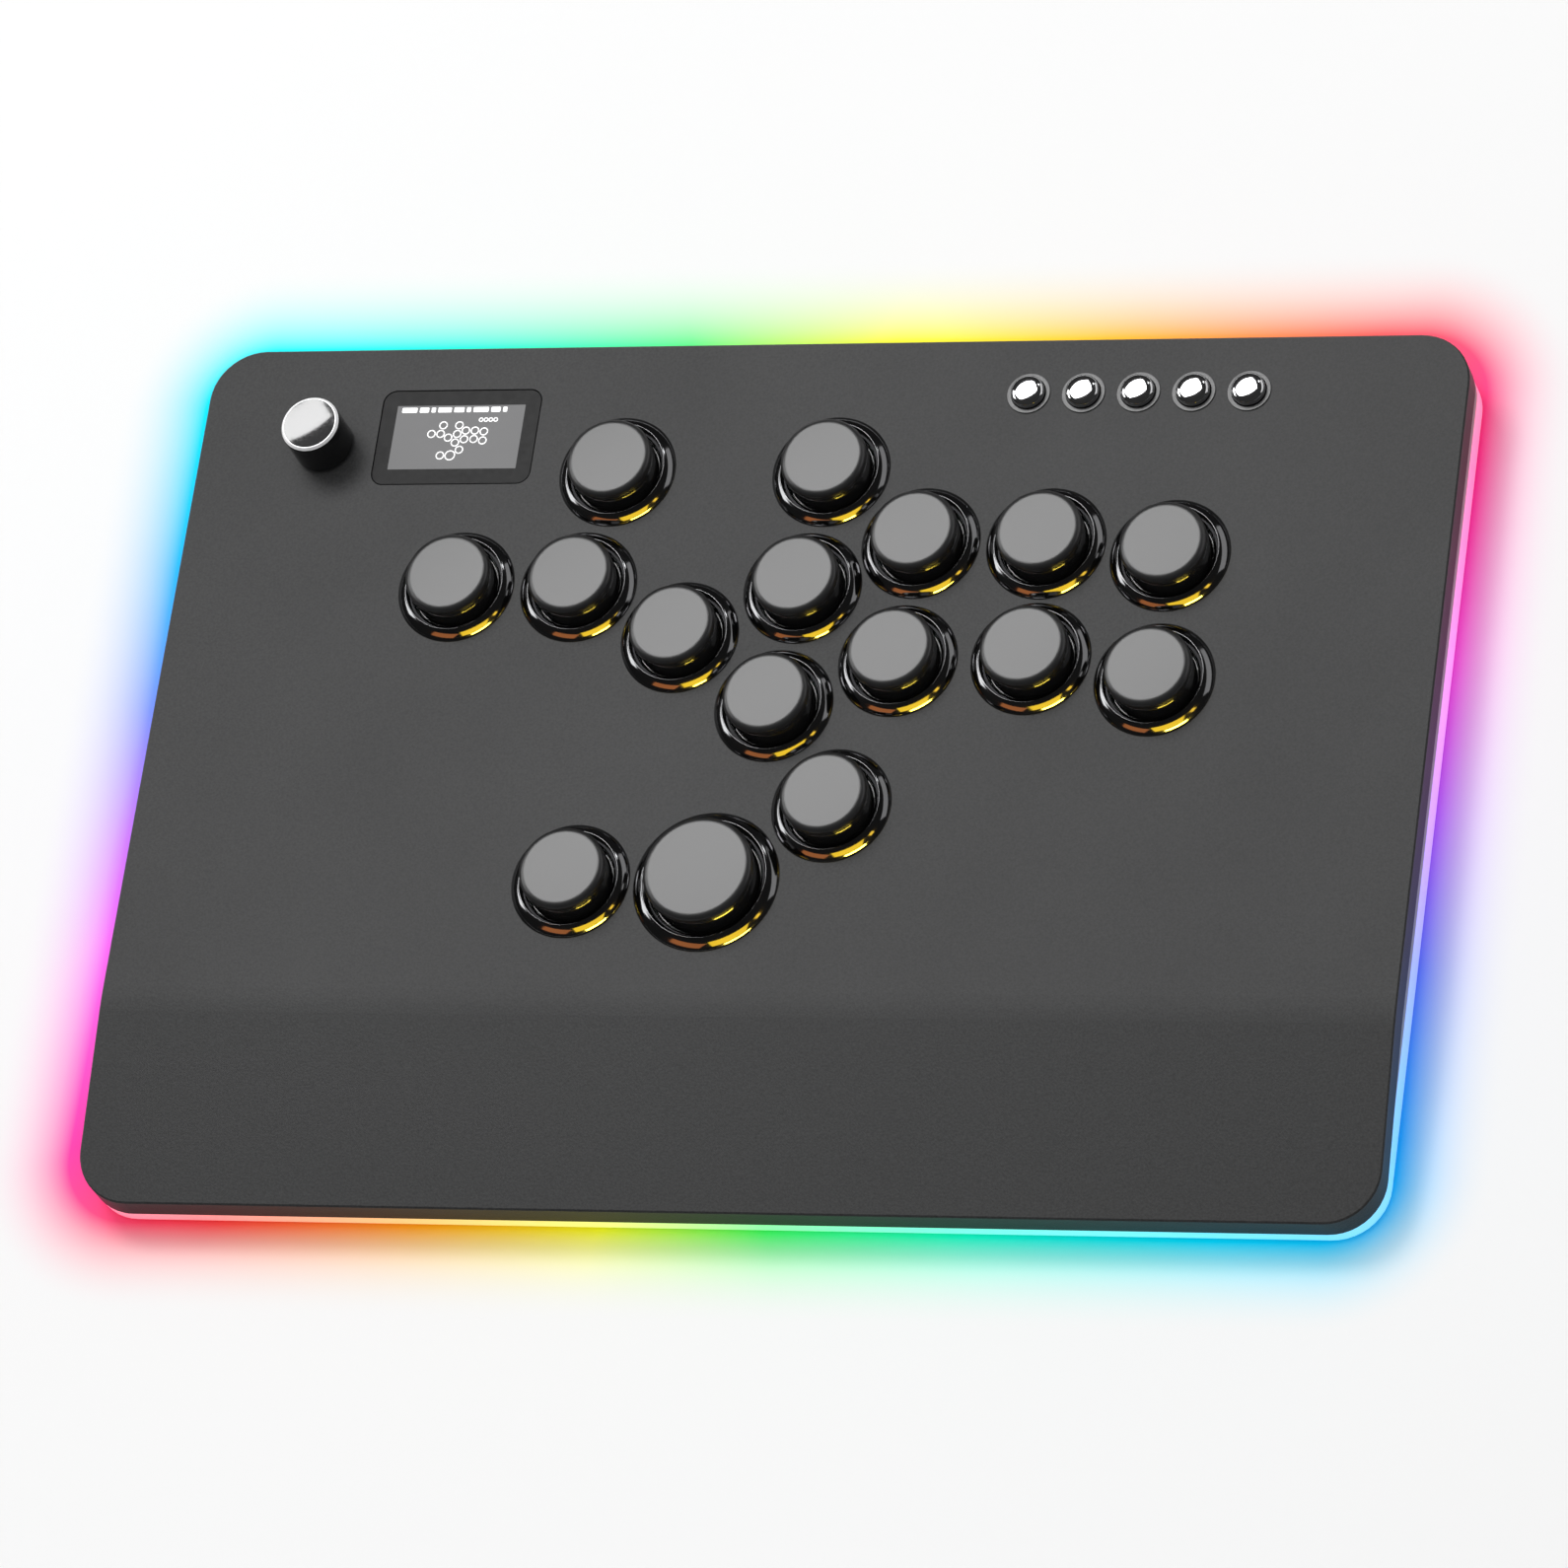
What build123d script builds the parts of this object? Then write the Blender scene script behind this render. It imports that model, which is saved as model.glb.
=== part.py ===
from build123d import *
import math
import os

# All-button arcade control panel: a low case that lies on a table or on the lap.
# Units are millimetres. X runs to the player's right, Y away from the player and Z up.
# The origin is on the table, under the centre of the case.

# ---- Case ----------------------------------------------------------------------------
WIDTH = 292.0
DEPTH = 207.0
CORNER_R = 12.0
FOOT_H = 2.0
CASE_H = 14.3                       # from the underside of the light ring to the flat top face
TOP_Z = FOOT_H + CASE_H
SHEET = 2.0                         # wall of the top panel
SKIRT = 6.0                         # height of the panel's side wall, outside
BEND_Y = -57.0                      # where the flat top would meet the wrist rest with no radius
BEND_DEG = 6.0
BEND_R = 55.0
EDGE_CHAMFER = 0.35
UNDER_Z = TOP_Z - SHEET             # underside of the flat top

# ---- Light ring, bottom cover and feet -------------------------------------------------
RING_INSET = 0.2
RING_INNER = 5.0
REBATE_INSET = 2.9
COVER_INSET = 3.0
COVER_T = 1.5
COVER_TOP = FOOT_H + COVER_T
REBATE_Z = COVER_TOP + 0.1
FOOT_R = 9.0
FOOT_SPOTS = [(x, y) for x in (-118.0, 0.0, 118.0) for y in (-74.0, 74.0)]

# ---- Case screws and the panel's screw posts -------------------------------------------
SCREW_SPOTS = [(-132.0, 90.0), (-132.0, -10.0), (-132.0, -88.0), (0.0, -88.0),
               (132.0, -88.0), (132.0, -10.0), (132.0, 90.0), (24.0, 91.5)]
POST_R = 3.0
POST_Z = COVER_TOP + 0.2
THREAD_R = 1.5
SCREW_R = 1.45
SCREW_LENGTH = 7.0
HEAD_R = 2.7
HEAD_H = 1.3

# ---- Main board --------------------------------------------------------------------------
BOARD_BOTTOM = 5.9
BOARD_T = 1.6
BOARD_TOP = BOARD_BOTTOM + BOARD_T
BOARD_X = (-126.0, 108.0)
BOARD_Y = (-50.0, 96.5)
BOARD_POSTS = [(-120.0, -44.0), (-120.0, 20.0), (-20.0, -44.0), (-48.0, 8.0), (102.0, -44.0), (102.0, 60.0)]
BOARD_POST_R = 2.5
BOARD_PIN_R = 1.2

# ---- Play buttons --------------------------------------------------------------------------
# Centres of the buttons on the flat top: the three direction keys, the two rows of four
# attack keys, the thumb keys with the large jump key, and two extra keys behind.
BUTTONS_24 = {
    "left": (-79.0, 43.4),
    "down": (-50.3, 43.2),
    "right": (-24.9, 30.7),
    "punch_1": (1.7, 42.6),
    "punch_2": (27.3, 53.4),
    "punch_3": (55.8, 53.1),
    "punch_4": (84.1, 50.0),
    "kick_1": (-0.9, 14.0),
    "kick_2": (25.9, 24.8),
    "kick_3": (55.9, 25.2),
    "kick_4": (84.2, 20.1),
    "extra_1": (-45.5, 71.7),
    "extra_2": (4.3, 71.2),
    "thumb_left": (-41.2, -28.3),
    "thumb_right": (15.6, -10.0),
}
BUTTONS_30 = {"jump": (-10.2, -28.3)}
# Hole, rim, crest of the rim, bore and cap radii of the two button sizes.
SIZE_24 = {"hole": 12.0, "rim": 13.5, "crest": 11.25, "bore": 10.0, "cap": 9.7}
SIZE_30 = {"hole": 15.0, "rim": 16.5, "crest": 14.0, "bore": 12.6, "cap": 12.3}
RIM_EDGE = 0.25
CREST_H = 2.0
CREST_HALF = 0.12                   # half the width of the flat on the crest
THROAT_H = 0.5                      # height over the panel at which the rim's cone meets the bore
BARREL_GAP = 0.1
BARREL_END = 13.0
NUT_WALL = 1.3
NUT_GAP = 0.05
CAP_H = 7.5                         # cap's top over the panel
CAP_BOTTOM = TOP_Z - 0.5
CAP_FILLET = 1.1
CAP_WALL = 1.4
CAP_ROOF = 1.9
KEY_TRAVEL = 3.0

# ---- Low-profile keyswitches under the play buttons -----------------------------------------
SWITCH_SIDE = 13.8
SWITCH_LIP = 15.0
SWITCH_TOP = 12.5
LIP_Z = (9.6, 10.3)
WELL = (10.6, 4.9)
WELL_FLOOR = 8.3
STEM = (10.2, 4.5)
STEM_Z = (11.45, 15.9)
SLOT = (1.25, 3.0)
SLOT_X = 2.85
SLOT_DEPTH = 2.9
LEG_GAP = 0.05
SWITCH_PEG_R = 1.65
SOCKET = (10.9, 5.2, 1.8)
SOCKET_Y = -4.9
SPRING_R = 1.5
SPRING_WIRE = 0.14
SPRING_TURNS = 3.5
WIRE_SIDES = 6                      # the wire's section is a hexagon, which keeps its mesh light

# ---- Menu buttons ------------------------------------------------------------------------------
MENU_COUNT = 5
MENU_FIRST = (47.1, 90.1)
MENU_PITCH = 12.5
MENU_RIM_R = 4.9
MENU_RIM_H = 0.3
MENU_HOLE_R = 4.4
MENU_BARREL_R = 4.3
MENU_BORE_R = 3.95
MENU_CAP_R = 3.8
MENU_CAP_H = 2.4
MENU_DOME_R = 9.0
MENU_CAP_FILLET = 0.6
MENU_FLANGE_R = 4.6
MENU_FLANGE_Z = (13.0, 13.8)
MENU_STALK_R = 2.2
MENU_TRAVEL = 0.5
TACT_SIDE = 6.0
TACT_TOP = 11.0
TACT_BORE_R = 1.8
PLUNGER_R = 1.7

# ---- Rotary encoder and its knob ------------------------------------------------------------------
KNOB_AT = (-116.0, 79.0)
KNOB_R = 6.85
KNOB_Z = (TOP_Z + 0.7, TOP_Z + 11.2)
KNOB_CHAMFER = 0.5
KNOB_CAVITY_R = 5.7
KNOB_CAVITY_H = 4.4
DISC_R = 6.05
DISC_T = 0.6
ENCODER_SIDE = 12.0
ENCODER_TOP = 14.0
BUSH_R = 3.5
BUSH_TOP = TOP_Z + 4.2
SHAFT_R = 3.0
SHAFT_BORE_R = 3.05
SHAFT_Z = (10.2, 26.0)
SHAFT_FLAT = 1.5                    # the flat's distance from the shaft's axis
CLICK_Z = (9.55, 10.15)
ENCODER_WELL = 8.95
HEX_ACROSS = 9.6
HEX_T = 2.0

# ---- Display -----------------------------------------------------------------------------------------
SCREEN_AT = (-85.0, 81.0)
WINDOW = (37.6, 23.6, 1.0)
WINDOW_R = 3.0
WINDOW_GAP = 0.15
SIGHT = (31.6, 17.0)                # hole through the panel behind the window
GLASS = (34.5, 23.0, 1.45)
MODULE_BOARD = (36.0, 27.5, 1.6)
HEADER = (10.2, 2.5)

# ---- USB socket, in the middle of the rear edge ---------------------------------------------------------
USB_Z = 6.7
USB_SHELL = (8.94, 3.16)
USB_WALL = 0.3
USB_Y = (93.2, 100.5)
USB_TONGUE = (6.7, 0.7)
PORT = (12.6, 6.4)

# ---- Light strip ------------------------------------------------------------------------------------------
STRIP_INSET = (6.4, 6.8)
STRIP_Z = (4.0, 8.0)
LED = (1.2, 3.5, 2.8)
LED_PITCH = 18.0


def block(x0, x1, y0, y1, z0, z1):
    """A box between two corners."""
    return Pos((x0 + x1) / 2, (y0 + y1) / 2, (z0 + z1) / 2) * Box(x1 - x0, y1 - y0, z1 - z0)


def block_at(x, y, width, length, z0, z1):
    """A box centred on x, y."""
    return block(x - width / 2, x + width / 2, y - length / 2, y + length / 2, z0, z1)


def rod(x, y, radius, z0, z1):
    """A vertical cylinder."""
    return Pos(x, y, (z0 + z1) / 2) * Cylinder(radius, z1 - z0)


def rounded_block(x, y, width, length, radius, z0, z1):
    """A vertical prism on a rectangle with rounded corners."""
    return Pos(x, y, z0) * extrude(RectangleRounded(width, length, radius), z1 - z0)


def outline(inset, z0, z1):
    """The case's plan, drawn in by inset, as a prism."""
    return rounded_block(0, 0, WIDTH - 2 * inset, DEPTH - 2 * inset, max(CORNER_R - inset, 0.5), z0, z1)


def turned(points):
    """A solid of revolution about Z from an outline of (radius, z) points."""
    profile = make_face(Polyline(*[(r, 0, z) for r, z in points], close=True))
    return revolve(profile, Axis.Z)


def one_node(solids):
    """Several separate solids as one shape for one file."""
    return Compound(children=list(solids))


def below_top(drop):
    """Everything under the panel's top face moved down by drop: flat, then bent down to the wrist."""
    bend = math.radians(BEND_DEG)
    start = BEND_Y + BEND_R * math.tan(bend / 2)
    middle = (start - BEND_R * math.sin(bend / 2), TOP_Z - BEND_R * (1 - math.cos(bend / 2)) - drop)
    end = (start - BEND_R * math.sin(bend), TOP_Z - BEND_R * (1 - math.cos(bend)) - drop)
    front_y = -DEPTH / 2 - 1
    front = (front_y, end[1] - (end[0] - front_y) * math.tan(bend))
    rear = DEPTH / 2 + 1
    edge = [
        Line((rear, TOP_Z - drop), (start, TOP_Z - drop)),
        ThreePointArc((start, TOP_Z - drop), middle, end),
        Line(end, front),
        Polyline(front, (front_y, -1), (rear, -1), (rear, TOP_Z - drop)),
    ]
    return extrude(Plane.YZ * make_face(edge), amount=WIDTH / 2 + 1, both=True)


def button_sizes():
    """Every play button as (name, centre, sizes)."""
    small = [(name, at, SIZE_24) for name, at in BUTTONS_24.items()]
    large = [(name, at, SIZE_30) for name, at in BUTTONS_30.items()]
    return small + large


def menu_spots():
    return [(MENU_FIRST[0] + i * MENU_PITCH, MENU_FIRST[1]) for i in range(MENU_COUNT)]


def top_panel():
    """Bent sheet with a skirt all round, the holes for the controls and eight screw posts."""
    shell = outline(0, 0, TOP_Z + 1) & below_top(0)
    crown = [e for e in shell.edges() if e.center().Z > TOP_Z - SKIRT and abs(e.tangent_at(0.5).Z) < 0.5]
    shell = chamfer(crown, EDGE_CHAMFER)
    shell -= below_top(SKIRT)
    shell -= outline(SHEET, 0, TOP_Z + 1) & below_top(SHEET)
    posts = [rod(x, y, POST_R, POST_Z, TOP_Z) for x, y in SCREW_SPOTS]
    shell += [post & below_top(SHEET / 2) for post in posts]
    shell -= [rod(x, y, THREAD_R, 0, POST_Z + SCREW_LENGTH) & below_top(SHEET + 0.4) for x, y in SCREW_SPOTS]
    cuts = [rod(*at, size["hole"], UNDER_Z - 1, TOP_Z + 1) for _, at, size in button_sizes()]
    cuts += [rod(*at, MENU_HOLE_R, UNDER_Z - 1, TOP_Z + 1) for at in menu_spots()]
    cuts.append(rod(*KNOB_AT, BUSH_R + BARREL_GAP, UNDER_Z - 1, TOP_Z + 1))
    width, length, thick = WINDOW
    pocket_floor = TOP_Z - thick - 0.05
    cuts.append(rounded_block(*SCREEN_AT, width + 2 * WINDOW_GAP, length + 2 * WINDOW_GAP,
                              WINDOW_R + WINDOW_GAP, pocket_floor, TOP_Z + 1))
    cuts.append(block_at(*SCREEN_AT, *SIGHT, UNDER_Z - 1, TOP_Z))
    return shell - cuts


def light_ring():
    """Frosted frame between the panel's skirt and the bottom cover, with the USB port's slot."""
    ring = (outline(RING_INSET, FOOT_H, TOP_Z) & below_top(SKIRT)) - outline(RING_INNER, 0, TOP_Z)
    ring -= outline(REBATE_INSET, 0, REBATE_Z)
    port = rounded_block(0, 0, PORT[0], PORT[1], 1.5, -8, 8)
    return ring - Pos(0, DEPTH / 2 - 3, USB_Z) * Rot(90, 0, 0) * port


def bottom_cover():
    """Thin plate let into the ring, with countersunk screw holes and the main board's posts."""
    cover = outline(COVER_INSET, FOOT_H, COVER_TOP)
    cover += [rod(x, y, BOARD_POST_R, FOOT_H, BOARD_BOTTOM) for x, y in BOARD_POSTS]
    cover += [rod(x, y, BOARD_PIN_R, FOOT_H, BOARD_TOP + 0.4) for x, y in BOARD_POSTS]
    cover -= [rod(x, y, SCREW_R + 0.2, 0, COVER_TOP + 1) for x, y in SCREW_SPOTS]
    sink = turned([(0, FOOT_H - 1), (HEAD_R + 1.2, FOOT_H - 1), (HEAD_R + 0.2, FOOT_H), (SCREW_R + 0.2, COVER_TOP),
                   (0, COVER_TOP)])
    return cover - [Pos(x, y, 0) * sink for x, y in SCREW_SPOTS]


def case_screws():
    """Eight countersunk screws, from below into the panel's posts, each with a cross recess."""
    head_top = FOOT_H + HEAD_H
    screw = turned([(0, FOOT_H + 0.1), (HEAD_R, FOOT_H + 0.1), (SCREW_R, head_top), (SCREW_R, FOOT_H + SCREW_LENGTH),
                    (SCREW_R - 0.5, FOOT_H + SCREW_LENGTH + 0.5), (0, FOOT_H + SCREW_LENGTH + 0.5)])
    recess = block_at(0, 0, 2.6, 0.7, 0, FOOT_H + 0.9) + block_at(0, 0, 0.7, 2.6, 0, FOOT_H + 0.9)
    screw -= recess
    return one_node(Pos(x, y, 0) * screw for x, y in SCREW_SPOTS)


def feet():
    foot = chamfer(rod(0, 0, FOOT_R, 0, FOOT_H).edges().sort_by(Axis.Z)[0], 0.4)
    return one_node(Pos(x, y, 0) * foot for x, y in FOOT_SPOTS)


def main_board():
    """One board under every control, notched for the USB socket and drilled for switches and posts."""
    board = rounded_block((BOARD_X[0] + BOARD_X[1]) / 2, (BOARD_Y[0] + BOARD_Y[1]) / 2,
                          BOARD_X[1] - BOARD_X[0], BOARD_Y[1] - BOARD_Y[0], 4, BOARD_BOTTOM, BOARD_TOP)
    cuts = [rod(*at, SWITCH_PEG_R + 0.1, BOARD_BOTTOM - 1, BOARD_TOP + 1) for _, at, _ in button_sizes()]
    cuts += [rod(*at, BOARD_PIN_R + 0.1, BOARD_BOTTOM - 1, BOARD_TOP + 1) for at in BOARD_POSTS]
    cuts.append(rod(*SCREW_SPOTS[-1], POST_R + 0.6, BOARD_BOTTOM - 1, BOARD_TOP + 1))
    half = USB_SHELL[0] / 2 + 0.15
    cuts.append(block(-half, half, USB_Y[0] - 0.3, BOARD_Y[1] + 1, BOARD_BOTTOM - 1, BOARD_TOP + 1))
    return board - cuts


def board_chips():
    """Controller, memory, crystal, regulator, a row of small parts and the strip's plug."""
    parts = [(-96, 4, 7.0, 7.0, 0.9), (-84, 6, 6.0, 5.0, 1.7), (-96, 15, 3.2, 2.5, 0.8), (-72, -6, 6.5, 3.5, 1.6),
             (-108, 0, 8.0, 5.0, 5.5), (10, 88, 3.0, 3.0, 1.1), (-12, 88, 3.0, 1.7, 1.1)]
    chips = [block_at(x, y, w, d, BOARD_TOP, BOARD_TOP + h) for x, y, w, d, h in parts]
    chips += [block_at(-104 + 3 * i, -10, 1.0, 1.9, BOARD_TOP, BOARD_TOP + 0.6) for i in range(8)]
    return one_node(chips)


def usb_socket():
    """Mid-mounted USB-C receptacle: a rounded metal shell, its moulding and its tongue."""
    width, height = USB_SHELL
    radius = height / 2 - 0.01
    length = USB_Y[1] - USB_Y[0]
    body = extrude(RectangleRounded(width, height, radius), length)
    hollow = extrude(RectangleRounded(width - 2 * USB_WALL, height - 2 * USB_WALL, radius - USB_WALL), length - 1.2)
    tongue = extrude(RectangleRounded(*USB_TONGUE, 0.2), length - 0.8)
    return Pos(0, USB_Y[1], USB_Z) * Rot(90, 0, 0) * (body - hollow + Pos(0, 0, 0.8) * tongue)


def bezel(size):
    """Screwed rim of one play button: flange, rounded outer flank, crest, hollowed inner cone and barrel."""
    crest_z = TOP_Z + CREST_H
    edge_z = TOP_Z + RIM_EDGE
    throat_z = TOP_Z + THROAT_H
    barrel = size["hole"] - BARREL_GAP
    outer, inner = size["crest"] + CREST_HALF, size["crest"] - CREST_HALF
    flank_mid = (outer + 0.68 * (size["rim"] - outer), crest_z - 0.3 * (crest_z - edge_z))
    cone_mid = (size["bore"] + 0.66 * (inner - size["bore"]), throat_z + 0.36 * (crest_z - throat_z))
    lines = [
        Line((barrel, BARREL_END), (barrel, TOP_Z)),
        Line((barrel, TOP_Z), (size["rim"], TOP_Z)),
        Line((size["rim"], TOP_Z), (size["rim"], edge_z)),
        ThreePointArc((size["rim"], edge_z), flank_mid, (outer, crest_z)),
        Line((outer, crest_z), (inner, crest_z)),
        ThreePointArc((inner, crest_z), cone_mid, (size["bore"], throat_z)),
        Line((size["bore"], throat_z), (size["bore"], BARREL_END)),
        Line((size["bore"], BARREL_END), (barrel, BARREL_END)),
    ]
    return revolve(Plane.XZ * make_face(lines), Axis.Z)


def bezel_nut(size):
    """Round nut under the panel, with four spanner notches."""
    inner = size["hole"] - BARREL_GAP + NUT_GAP
    nut = rod(0, 0, inner + NUT_WALL, BARREL_END, UNDER_Z) - rod(0, 0, inner, BARREL_END - 1, TOP_Z)
    notches = [Rot(0, 0, 90 * i) * block_at(inner + NUT_WALL, 0, 1.2, 3.0, BARREL_END - 1, TOP_Z) for i in range(4)]
    return nut - notches


def key_cap(size):
    """Cap and keyswitch stem of one play button; the cap's two legs stand in the stem's slots."""
    top = TOP_Z + CAP_H
    cap = rod(0, 0, size["cap"], CAP_BOTTOM, top)
    cap = fillet(cap.edges().sort_by(Axis.Z)[-1], CAP_FILLET)
    cap -= rod(0, 0, size["cap"] - CAP_WALL, CAP_BOTTOM - 1, top - CAP_ROOF)
    cap += rod(0, 0, 4.2, STEM_Z[1], top - CAP_ROOF + 0.5)
    ribs = [Rot(0, 0, 90 * i) * block(3.5, size["cap"] - 1.0, -0.6, 0.6, CAP_BOTTOM + 0.8, top - CAP_ROOF + 0.5)
            for i in range(4)]
    cap += ribs
    legs = [block_at(side * SLOT_X, 0, SLOT[0] - 2 * LEG_GAP, SLOT[1] - 2 * LEG_GAP,
                     STEM_Z[1] - SLOT_DEPTH + 0.1, STEM_Z[1] + 0.5) for side in (-1, 1)]
    cap += legs
    stem = block_at(0, 0, *STEM, *STEM_Z)
    stem -= [block_at(side * SLOT_X, 0, *SLOT, STEM_Z[1] - SLOT_DEPTH, STEM_Z[1] + 1) for side in (-1, 1)]
    return one_node([cap, stem])


def switch_housing():
    """Square keyswitch body with a lip, a well for the stem and a peg through the board."""
    body = block_at(0, 0, SWITCH_SIDE, SWITCH_SIDE, BOARD_TOP, SWITCH_TOP)
    body = chamfer(body.edges().group_by(Axis.Z)[-1], 0.8)
    body += block_at(0, 0, SWITCH_LIP, SWITCH_LIP, *LIP_Z)
    body += rod(0, 0, SWITCH_PEG_R, BOARD_BOTTOM - 0.4, BOARD_TOP + 0.1)
    return body - block_at(0, 0, *WELL, WELL_FLOOR, SWITCH_TOP + 1)


def switch_spring():
    """Return coil between the floor of the switch's well and its stem."""
    bottom = WELL_FLOOR + SPRING_WIRE + 0.03
    height = STEM_Z[0] - WELL_FLOOR - 2 * SPRING_WIRE - 0.06
    path = Helix(pitch=height / SPRING_TURNS, height=height, radius=SPRING_R)
    section = Plane(origin=path @ 0, z_dir=path % 0) * RegularPolygon(SPRING_WIRE, WIRE_SIDES)
    return Pos(0, 0, bottom) * sweep(section, path=path)


def menu_bezel():
    """Flat rim of a menu button, with a short barrel through the panel."""
    top = TOP_Z + MENU_RIM_H
    return turned([(MENU_BORE_R, UNDER_Z - 0.3), (MENU_BARREL_R, UNDER_Z - 0.3), (MENU_BARREL_R, TOP_Z),
                   (MENU_RIM_R, TOP_Z), (MENU_RIM_R - 0.15, top), (MENU_BORE_R + 0.25, top),
                   (MENU_BORE_R, top - 0.25)])


def menu_cap():
    """Domed cap of a menu button with the plunger of its switch under it."""
    foot = TACT_TOP + 1.0
    crown = TOP_Z + MENU_CAP_H
    cap = rod(0, 0, MENU_CAP_R, MENU_FLANGE_Z[1] - 0.1, crown) & Pos(0, 0, crown - MENU_DOME_R) * Sphere(MENU_DOME_R)
    rims = [e for e in cap.edges().sort_by(Axis.Z) if e.geom_type == GeomType.CIRCLE and e.radius < MENU_CAP_R + 0.1]
    cap = fillet(rims[-1], MENU_CAP_FILLET)
    cap += rod(0, 0, MENU_FLANGE_R, *MENU_FLANGE_Z)
    cap += rod(0, 0, MENU_STALK_R, foot, MENU_FLANGE_Z[0] + 0.1)
    plunger = rod(0, 0, PLUNGER_R, foot - 2.0, foot - 0.02)
    return one_node([cap, plunger])


def menu_switch():
    body = block_at(0, 0, TACT_SIDE, TACT_SIDE, BOARD_TOP, TACT_TOP)
    return body - rod(0, 0, TACT_BORE_R, TACT_TOP - 1.6, TACT_TOP + 1)


def encoder_body():
    """Square encoder case with its bushing, bored for the shaft and the click plunger."""
    x, y = KNOB_AT
    body = block_at(x, y, ENCODER_SIDE, ENCODER_SIDE, BOARD_TOP, ENCODER_TOP)
    body += rod(x, y, BUSH_R, ENCODER_TOP - 0.1, BUSH_TOP)
    return body - rod(x, y, SHAFT_BORE_R, ENCODER_WELL, BUSH_TOP + 1)


def encoder_nut():
    x, y = KNOB_AT
    nut = Pos(x, y, TOP_Z) * extrude(RegularPolygon(HEX_ACROSS / 2, 6, major_radius=False), HEX_T)
    return nut - rod(x, y, BUSH_R + 0.05, TOP_Z - 1, TOP_Z + HEX_T + 1)


def flatted_rod(radius, flat, z0, z1):
    """A rod at the knob's place with one flat, as a D-shaped shaft has."""
    x, y = KNOB_AT
    return rod(x, y, radius, z0, z1) - block(x - 9, x + 9, y + flat, y + 9, z0 - 1, z1 + 1)


def encoder_shaft():
    round_part = rod(*KNOB_AT, SHAFT_R, SHAFT_Z[0], BUSH_TOP)
    return round_part + flatted_rod(SHAFT_R, SHAFT_FLAT, BUSH_TOP - 0.5, SHAFT_Z[1])


def encoder_knob():
    """Turned knob: plain side, bright chamfer, a cavity over the nut and a D-shaped bore."""
    x, y = KNOB_AT
    bottom, top = KNOB_Z
    knob = rod(x, y, KNOB_R, bottom, top)
    knob = chamfer(knob.edges().sort_by(Axis.Z)[-1], KNOB_CHAMFER)
    knob = chamfer(knob.edges().sort_by(Axis.Z)[0], 0.25)
    knob -= rod(x, y, KNOB_CAVITY_R, bottom - 1, bottom + KNOB_CAVITY_H)
    knob -= rod(x, y, DISC_R, top - DISC_T, top + 1)
    return knob - flatted_rod(SHAFT_R + 0.02, SHAFT_FLAT + 0.02, bottom, SHAFT_Z[1] + 0.2)


def knob_disc():
    return rod(*KNOB_AT, DISC_R - 0.02, KNOB_Z[1] - DISC_T, KNOB_Z[1] - 0.05)


def screen_window():
    width, length, thick = WINDOW
    return rounded_block(*SCREEN_AT, width, length, WINDOW_R, TOP_Z - thick - 0.05, TOP_Z - 0.05)


def display_module():
    """Display glass under the panel, its small board and the pin header down to the main board."""
    x, y = SCREEN_AT
    glass_top = UNDER_Z - 0.1
    glass_bottom = glass_top - GLASS[2]
    board_bottom = glass_bottom - MODULE_BOARD[2]
    glass = block_at(x, y, GLASS[0], GLASS[1], glass_bottom, glass_top)
    board = block_at(x, y, MODULE_BOARD[0], MODULE_BOARD[1], board_bottom, glass_bottom)
    header_y = y - MODULE_BOARD[1] / 2 + HEADER[1]
    header = block_at(x, header_y, *HEADER, BOARD_TOP, board_bottom)
    return one_node([glass, board, header])


def light_strip():
    """Flexible strip on edge round the inside of the ring, with lamps that face outwards."""
    strip = outline(STRIP_INSET[0], *STRIP_Z) - outline(STRIP_INSET[1], 0, TOP_Z)
    strip -= block_at(0, DEPTH / 2, PORT[0] + 1, 40, 0, TOP_Z)
    lamp_z = (STRIP_Z[0] + (STRIP_Z[1] - STRIP_Z[0] - LED[2]) / 2, STRIP_Z[1] - (STRIP_Z[1] - STRIP_Z[0] - LED[2]) / 2)
    lamps = []
    across = int((WIDTH / 2 - CORNER_R - STRIP_INSET[0]) // LED_PITCH)
    along = int((DEPTH / 2 - CORNER_R - STRIP_INSET[0]) // LED_PITCH)
    for side in (-1, 1):
        face_y = side * (DEPTH / 2 - STRIP_INSET[0] + LED[0] / 2)
        face_x = side * (WIDTH / 2 - STRIP_INSET[0] + LED[0] / 2)
        lamps += [block_at(i * LED_PITCH, face_y, LED[1], LED[0], *lamp_z)
                  for i in range(-across, across + 1) if i != 0 or side < 0]
        lamps += [block_at(face_x, i * LED_PITCH, LED[0], LED[1], *lamp_z) for i in range(-along, along + 1)]
    return one_node([strip, *lamps])


def at_buttons(make):
    """One copy of a button part for every play button, as one node."""
    return one_node(Pos(x, y, 0) * make(size) for _, (x, y), size in button_sizes())


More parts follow.
